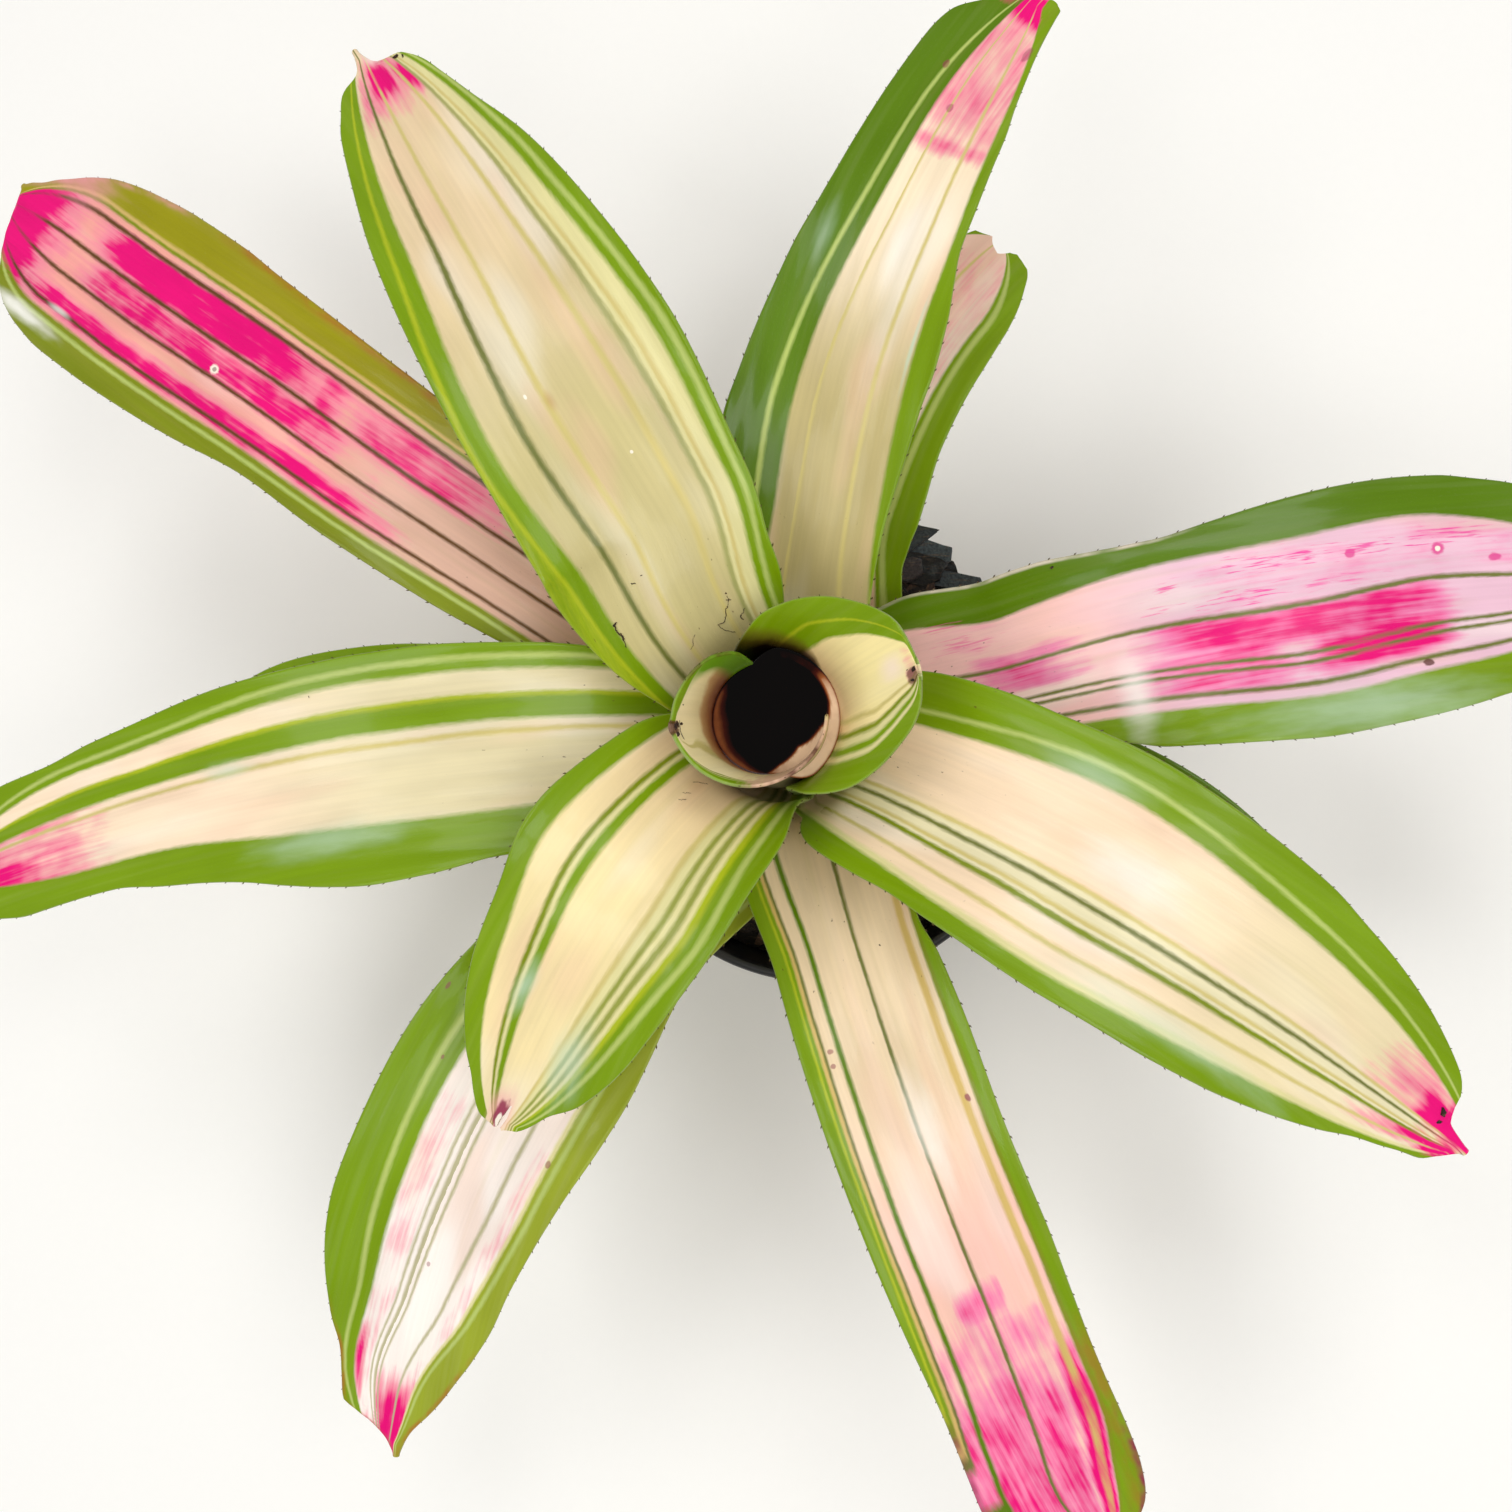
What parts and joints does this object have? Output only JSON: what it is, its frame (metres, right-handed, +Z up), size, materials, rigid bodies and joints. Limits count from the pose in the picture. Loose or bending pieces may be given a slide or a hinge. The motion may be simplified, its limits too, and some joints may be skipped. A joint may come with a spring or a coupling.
{
  "type": "potted neoregelia bromeliad",
  "caption": "Bromeliad rosette of arching, variegated strap leaves round a water-filled central cup, standing in a round tapered nursery pot of bark mix.",
  "frame": {"origin": "centre of the pot's flat foot", "axes": "+Z up, out of the pot; +X and +Y level, with the water cup a little towards -X and +Y of the pot's middle"},
  "size_m": [0.3892, 0.3479, 0.1742],
  "materials": {
    "pot_plastic": "moulded black nursery-pot plastic, satin",
    "bark_mix": "damp dark bark chips",
    "stem": "fibrous green-brown stem",
    "leaf": "glossy cream leaf with green margins and stripes and pink flushes",
    "tank_water": "still water, dark tea brown"
  },
  "bodies": {
    "root": {"pot": "pot_plastic", "potting_mix": "bark_mix", "stem": "stem", "leaf_01": "leaf", "leaf_02": "leaf", "leaf_03": "leaf", "leaf_04": "leaf", "leaf_05": "leaf", "leaf_06": "leaf", "leaf_07": "leaf", "leaf_08": "leaf", "leaf_09": "leaf", "leaf_10": "leaf", "leaf_11": "leaf", "leaf_12": "leaf", "leaf_13": "leaf", "leaf_14": "leaf", "tank_water": "tank_water"}
  },
  "joints": []
}
